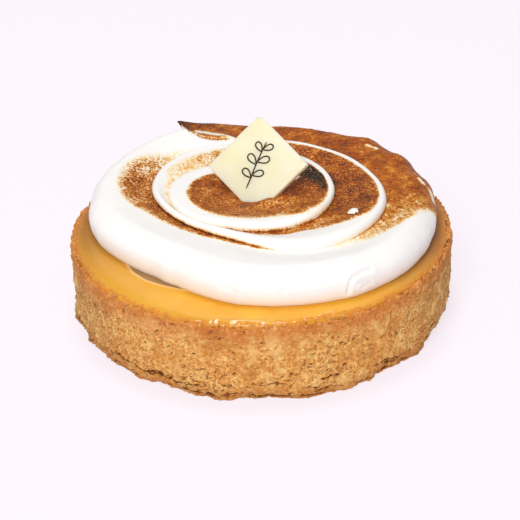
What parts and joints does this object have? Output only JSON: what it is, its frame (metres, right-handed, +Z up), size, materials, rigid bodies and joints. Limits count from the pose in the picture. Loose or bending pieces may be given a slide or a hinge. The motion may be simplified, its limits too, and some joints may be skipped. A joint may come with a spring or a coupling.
{
  "type": "lemon meringue tart",
  "caption": "Round shortcrust tart filled level with lemon curd, topped by a torched spiral of meringue with a small square plaque standing on its corner.",
  "frame": {"origin": "middle of the flat foot of the pastry shell", "axes": "+Z up, through the swirl; -Y towards the pictured side; +X to its right"},
  "size_m": [0.085, 0.0851, 0.0408],
  "materials": {
    "shortcrust": "baked golden brown, dry and crumbly",
    "lemon_curd": "set lemon curd, smooth with a soft gloss",
    "meringue": "soft white meringue, browned by a torch in places",
    "white_chocolate": "ivory white chocolate, satin"
  },
  "bodies": {
    "root": {"crust_shell": "shortcrust", "lemon_curd": "lemon_curd", "meringue": "meringue", "plaque": "white_chocolate"}
  },
  "joints": []
}
